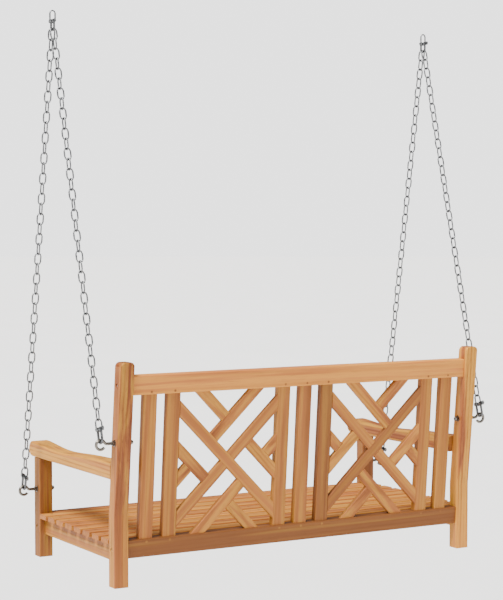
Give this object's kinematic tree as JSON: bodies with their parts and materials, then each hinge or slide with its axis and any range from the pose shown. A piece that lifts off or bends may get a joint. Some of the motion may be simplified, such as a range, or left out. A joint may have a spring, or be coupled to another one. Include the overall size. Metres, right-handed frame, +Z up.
{
  "type": "porch swing",
  "caption": "Teak porch swing with a lattice back, slatted seat and scooped arms, hung on link chains by hook bolts and shackles",
  "frame": {"origin": "middle of the hanging axis, at the inner top of the two hanging links", "axes": "X along the seat with the sitter's left at +X, the bench faces -Y, Z up"},
  "size_m": [1.318, 0.642, 1.5994],
  "materials": {
    "teak_frame": "oiled satin",
    "teak_back": "oiled satin",
    "teak_seat": "oiled satin",
    "zinc_chain": "bright zinc",
    "nickel_hook": "nickel plated",
    "bolt_steel": "plain steel"
  },
  "bodies": {
    "hangers": {"hanging_link_left": "zinc_chain", "hanging_link_right": "zinc_chain"},
    "shackle_pair": {"top_shackles": "zinc_chain", "top_shackle_pins": "zinc_chain"},
    "left_chains": {"chain_back_left": "zinc_chain", "chain_front_left": "zinc_chain", "lower_shackle_pins_left": "zinc_chain", "lower_shackles_left": "zinc_chain"},
    "right_chains": {"chain_back_right": "zinc_chain", "chain_front_right": "zinc_chain", "lower_shackle_pins_right": "zinc_chain", "lower_shackles_right": "zinc_chain"},
    "bench": {"acorn_nuts": "nickel_hook", "arm_left": "teak_seat", "arm_right": "teak_seat", "back_post_left": "teak_frame", "back_post_right": "teak_frame", "back_rail": "teak_frame", "front_leg_left": "teak_frame", "front_leg_right": "teak_frame", "front_rail": "teak_frame", "hook_bolts": "nickel_hook", "hook_nuts": "nickel_hook", "hook_washers": "nickel_hook", "lattice_left_long_lapped": "teak_back", "lattice_left_long_whole": "teak_back", "lattice_left_middle": "teak_back", "lattice_left_short": "teak_back", "lattice_right_long_lapped": "teak_back", "lattice_right_long_whole": "teak_back", "lattice_right_middle": "teak_back", "lattice_right_short": "teak_back", "rail_bolts": "bolt_steel", "seat_bearer": "teak_frame", "seat_slat_1": "teak_seat", "seat_slat_2": "teak_seat", "seat_slat_3": "teak_seat", "seat_slat_4": "teak_seat", "seat_slat_5": "teak_seat", "seat_slat_6": "teak_seat", "seat_slat_7": "teak_seat", "seat_slat_8": "teak_seat", "seat_slat_9": "teak_seat", "side_rail_left": "teak_frame", "side_rail_right": "teak_frame", "slat_screws": "bolt_steel", "tenon_pins": "teak_frame", "top_rail": "teak_frame", "upright_1": "teak_back", "upright_2": "teak_back", "upright_3": "teak_back", "upright_4": "teak_back", "upright_5": "teak_back", "upright_6": "teak_back", "upright_7": "teak_back"}
  },
  "joints": [
    {"name": "swing", "type": "hinge", "parent": "hangers", "child": "shackle_pair", "pos_m": [0, 0, -0.03195], "axis": [1, 0, 0], "range_deg": [-25, 25]},
    {"name": "sway", "type": "hinge", "parent": "shackle_pair", "child": "left_chains", "pos_m": [0.642, 0, -0.0534], "axis": [0, 0.9394, 0.3428], "range_deg": [-5, 5]},
    {"name": "sway_right", "type": "hinge", "parent": "shackle_pair", "child": "right_chains", "pos_m": [-0.642, 0, -0.0534], "axis": [0, 0.9394, 0.3428], "range_deg": [-5, 5]},
    {"name": "bench_level", "type": "hinge", "parent": "left_chains", "child": "bench", "pos_m": [0.642, -0.23147, -1.38861], "axis": [0, 0.9394, 0.3428], "range_deg": [-5, 5]}
  ],
  "couplings": [
    {"joint": "sway_right", "follows": "sway", "ratio": 1},
    {"joint": "bench_level", "follows": "sway", "ratio": -1}
  ]
}
